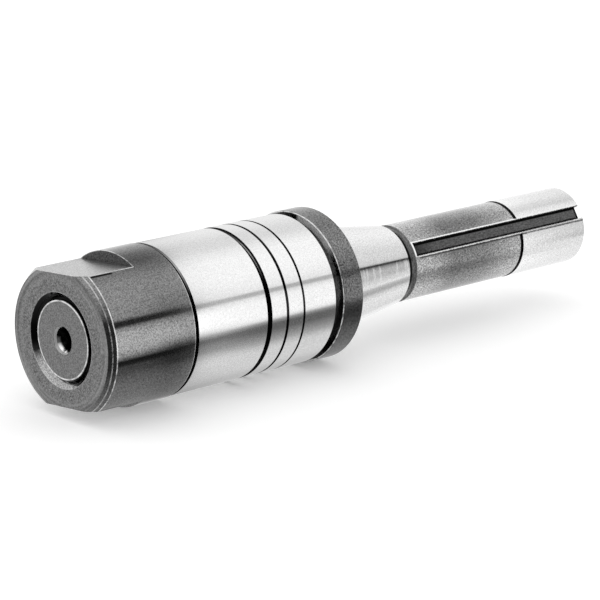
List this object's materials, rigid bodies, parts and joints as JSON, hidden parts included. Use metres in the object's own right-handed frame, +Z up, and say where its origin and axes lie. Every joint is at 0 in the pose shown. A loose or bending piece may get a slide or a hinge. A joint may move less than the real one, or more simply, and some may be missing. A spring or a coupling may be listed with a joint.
{
  "type": "milling arbor",
  "caption": "Stub milling arbor with a tapered collet shank, flange, keyed journal with ground spacing collars and a round nut with wrench flats.",
  "frame": {"origin": "on the arbor's axis, at the large end of the shank's taper", "axes": "+X along the axis from the nut to the drawbar end, +Z up as the arbor lies on its side with its nut flats nearly level, +Y away from the side that holds the shank's keyway"},
  "size_m": [0.2013, 0.0454, 0.0454],
  "materials": {
    "hardened_steel": "hardened steel, ground on the taper, pilot and journal, dark where it is left as turned",
    "key_steel": "bright drawn key steel",
    "black_oxide_steel": "turned and milled steel with a black oxide finish",
    "ground_steel": "hardened steel, cylindrically ground"
  },
  "bodies": {
    "arbor": {"arbor_body": "hardened_steel", "drive_key": "key_steel"},
    "long_collar": {"collar_1_long": "ground_steel"},
    "front_thin_collar": {"collar_2_thin": "ground_steel"},
    "rear_thin_collar": {"collar_3_thin": "ground_steel"},
    "medium_collar": {"collar_4_medium": "ground_steel"},
    "nut": {"arbor_nut": "black_oxide_steel"}
  },
  "joints": [
    {"name": "nut_turn", "type": "hinge", "parent": "long_collar", "child": "nut", "pos_m": [-0.084, 0, 0], "axis": [-1, 0, 0], "range_deg": [0, 6120]},
    {"name": "long_collar_slide", "type": "slide", "parent": "arbor", "child": "long_collar", "axis": [-1, 0, 0], "range_m": [0, 0.0309]},
    {"name": "front_thin_collar_slide", "type": "slide", "parent": "arbor", "child": "front_thin_collar", "axis": [-1, 0, 0], "range_m": [0, 0.0232]},
    {"name": "rear_thin_collar_slide", "type": "slide", "parent": "arbor", "child": "rear_thin_collar", "axis": [-1, 0, 0], "range_m": [0, 0.0155]},
    {"name": "medium_collar_slide", "type": "slide", "parent": "arbor", "child": "medium_collar", "axis": [-1, 0, 0], "range_m": [0, 0.0078]}
  ],
  "couplings": [
    {"joint": "long_collar_slide", "follows": "nut_turn", "m_per_rad": 0.00028875},
    {"joint": "front_thin_collar_slide", "follows": "nut_turn", "m_per_rad": 0.00021656},
    {"joint": "rear_thin_collar_slide", "follows": "nut_turn", "m_per_rad": 0.00014438},
    {"joint": "medium_collar_slide", "follows": "nut_turn", "m_per_rad": 0.000072188}
  ]
}
